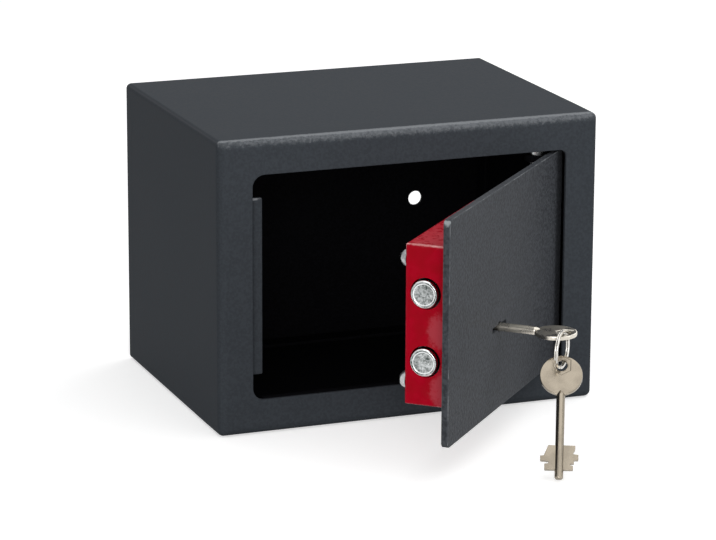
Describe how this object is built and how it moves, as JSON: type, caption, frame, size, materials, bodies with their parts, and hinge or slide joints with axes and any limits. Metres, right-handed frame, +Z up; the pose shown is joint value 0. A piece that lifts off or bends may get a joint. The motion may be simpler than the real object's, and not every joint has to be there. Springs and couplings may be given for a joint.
{
  "type": "safe deposit box",
  "caption": "Small welded steel safe with an inset door on concealed pins, a double-bitted key lock throwing two round bolts from a red lock cover, and a spare key on a split ring.",
  "frame": {"origin": "middle of the cabinet's underside, on the surface that it stands on", "axes": "+Z up, -Y out of the door opening, +Y through the back panel, +X towards the hinge side"},
  "size_m": [0.23, 0.3077, 0.17],
  "materials": {
    "cabinet_paint": "dark grey powder coat with a fine orange peel, worn bright on the bends of the front",
    "back_paint": "dark grey powder coat, matt",
    "inner_paint": "dark grey powder coat over welded steel",
    "door_paint": "mid grey hammered powder coat, satin, with rubbed edges",
    "cover_paint": "deep red gloss enamel over bent sheet steel, worn along its bends",
    "screw_steel": "zinc plated, domed heads",
    "bolt_steel": "zinc plated, mottled, bright along the rims",
    "zinc_steel": "zinc plated turned steel",
    "lock_steel": "plain pressed steel, oiled",
    "spring_steel": "blued spring steel",
    "brass": "stamped brass",
    "key_nickel": "nickel plated brass, worn satin",
    "ring_nickel": "nickel plated flat spring wire"
  },
  "bodies": {
    "cabinet": {"cabinet_shell": "cabinet_paint", "back_panel": "back_paint", "strike_bar": "inner_paint", "upper_hinge_bracket": "inner_paint", "lower_hinge_bracket": "inner_paint"},
    "door": {"door_plate": "door_paint", "upper_hinge_ear": "inner_paint", "lower_hinge_ear": "inner_paint", "hinge_pins": "zinc_steel", "hinge_bushes": "brass", "lock_cover": "cover_paint", "cover_posts": "zinc_steel", "cover_screws": "screw_steel", "lock_base_plate": "lock_steel", "bolt_guide": "lock_steel", "guide_stud": "zinc_steel", "lock_case": "lock_steel", "lock_case_lid": "lock_steel", "case_screws": "zinc_steel", "lever_post": "zinc_steel", "lever_1": "brass", "lever_2": "brass", "lever_3": "brass", "lever_4": "brass", "lever_5": "brass", "lever_springs": "spring_steel"},
    "bolt_work": {"upper_bolt": "bolt_steel", "lower_bolt": "bolt_steel", "bolt_bar": "bolt_steel", "lever_stump": "bolt_steel"},
    "key": {"lock_key": "key_nickel"},
    "ring": {"key_ring": "ring_nickel"},
    "spare": {"spare_key": "key_nickel"}
  },
  "joints": [
    {"name": "door_hinge", "type": "hinge", "parent": "cabinet", "child": "door", "pos_m": [0.082, -0.073, 0.085], "axis": [0, 0, 1], "range_deg": [-47, 43]},
    {"name": "bolt_slide", "type": "slide", "parent": "door", "child": "bolt_work", "axis": [-0.682, -0.7314, 0], "range_m": [0, 0.014]},
    {"name": "key_turn", "type": "hinge", "parent": "door", "child": "key", "pos_m": [0.0059, -0.13056, 0.069], "axis": [0.7314, -0.682, 0], "range_deg": [0, 180]},
    {"name": "ring_roll", "type": "hinge", "parent": "key", "child": "ring", "pos_m": [0.05204, -0.17954, 0.069], "axis": [0.7314, -0.682, 0], "range_deg": [-141.71, 0]},
    {"name": "spare_turn", "type": "hinge", "parent": "ring", "child": "spare", "pos_m": [0.05042, -0.18128, 0.05215], "axis": [0.7314, -0.682, 0], "range_deg": [0, 41.71]}
  ],
  "couplings": [
    {"joint": "key_turn", "follows": "bolt_slide", "rad_per_m": 224.4},
    {"joint": "ring_roll", "follows": "bolt_slide", "rad_per_m": -176.66},
    {"joint": "spare_turn", "follows": "bolt_slide", "rad_per_m": 51.99}
  ]
}
